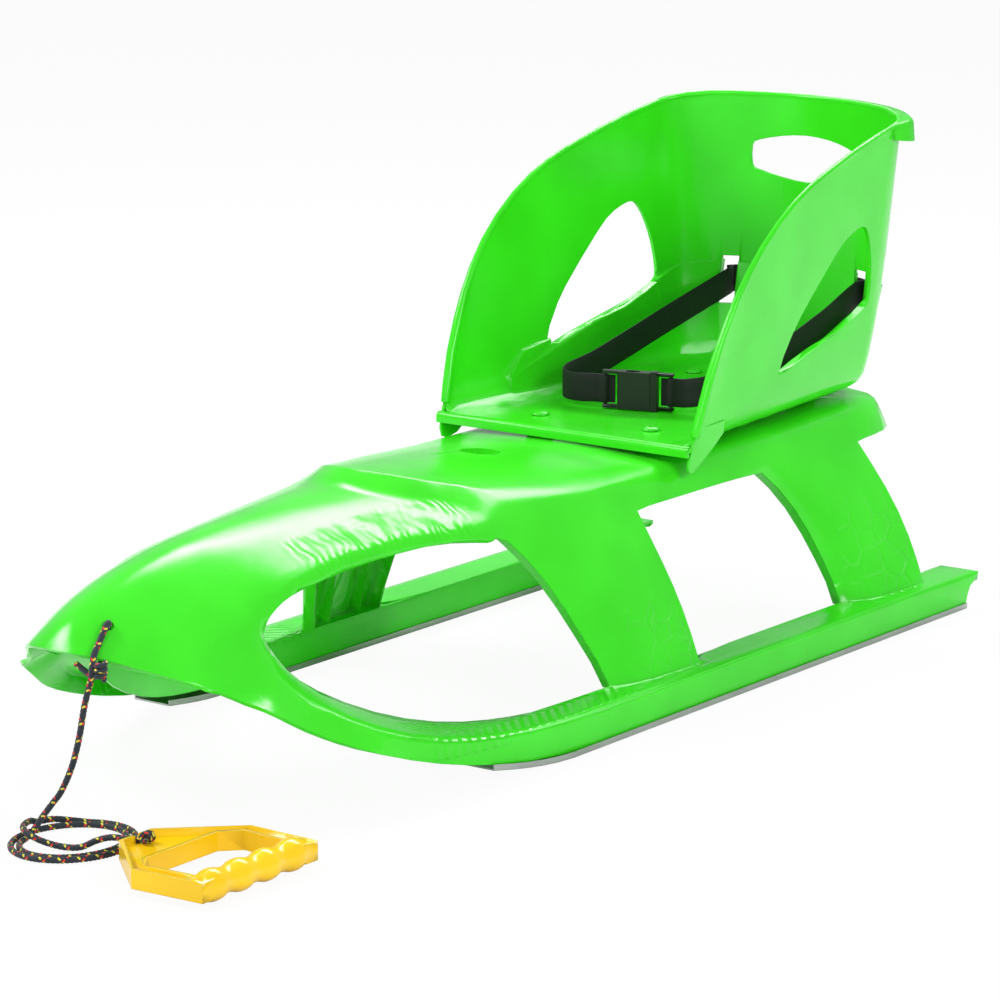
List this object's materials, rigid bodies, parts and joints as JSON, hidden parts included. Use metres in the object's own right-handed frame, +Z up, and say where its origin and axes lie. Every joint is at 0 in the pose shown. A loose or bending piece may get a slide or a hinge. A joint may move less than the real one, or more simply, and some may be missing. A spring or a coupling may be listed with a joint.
{
  "type": "child sled with seat",
  "caption": "Moulded plastic snow sled with a bolted bucket seat, lap belt, steel runner strips and a tow rope with a hand grip.",
  "frame": {"origin": "on the snow, under the middle of the sled's length and width, the rope and its handle left out", "axes": "+Y from the nose to the tail, +X towards the rider's left, +Z up"},
  "size_m": [0.4102, 1.1396, 0.4455],
  "materials": {
    "body_green": "injection-moulded polypropylene, light gloss, fine moulded grain on the sides",
    "seat_green": "injection-moulded polypropylene, light gloss",
    "strip_steel": "cold-rolled steel strip, worn along its length",
    "fastener_zinc": "zinc-plated steel",
    "webbing": "woven polypropylene webbing",
    "buckle_black": "moulded acetal",
    "rope": "braided rope, dark with red and yellow flecks",
    "handle_yellow": "moulded plastic, light gloss"
  },
  "bodies": {
    "sled": {"belt_stop_left": "buckle_black", "belt_stop_right": "buckle_black", "belt_strap_left": "webbing", "belt_strap_right": "webbing", "buckle_socket": "buckle_black", "runner_strip_left": "strip_steel", "runner_strip_right": "strip_steel", "seat_bolt_front_left": "fastener_zinc", "seat_bolt_front_right": "fastener_zinc", "seat_bolt_rear_left": "fastener_zinc", "seat_bolt_rear_right": "fastener_zinc", "seat_shell": "seat_green", "seat_washer_front_left": "fastener_zinc", "seat_washer_front_right": "fastener_zinc", "seat_washer_rear_left": "fastener_zinc", "seat_washer_rear_right": "fastener_zinc", "seat_wing_nut_front_left": "fastener_zinc", "seat_wing_nut_front_right": "fastener_zinc", "seat_wing_nut_rear_left": "fastener_zinc", "seat_wing_nut_rear_right": "fastener_zinc", "sled_body": "body_green", "strip_screw_left_1": "fastener_zinc", "strip_screw_left_2": "fastener_zinc", "strip_screw_left_3": "fastener_zinc", "strip_screw_left_4": "fastener_zinc", "strip_screw_right_1": "fastener_zinc", "strip_screw_right_2": "fastener_zinc", "strip_screw_right_3": "fastener_zinc", "strip_screw_right_4": "fastener_zinc", "tow_handle": "handle_yellow", "tow_handle_knot": "rope", "tow_rope": "rope", "tow_rope_coil": "rope", "tow_rope_knot": "rope"},
    "belt_plug": {"buckle_plug": "buckle_black", "buckle_latch": "buckle_black"}
  },
  "joints": [
    {"name": "buckle_plug_slide", "type": "slide", "parent": "sled", "child": "belt_plug", "axis": [0.9563, 0.2924, 0], "range_m": [0, 0.024], "deforming": ["buckle_latch", "belt_strap_left"]}
  ]
}
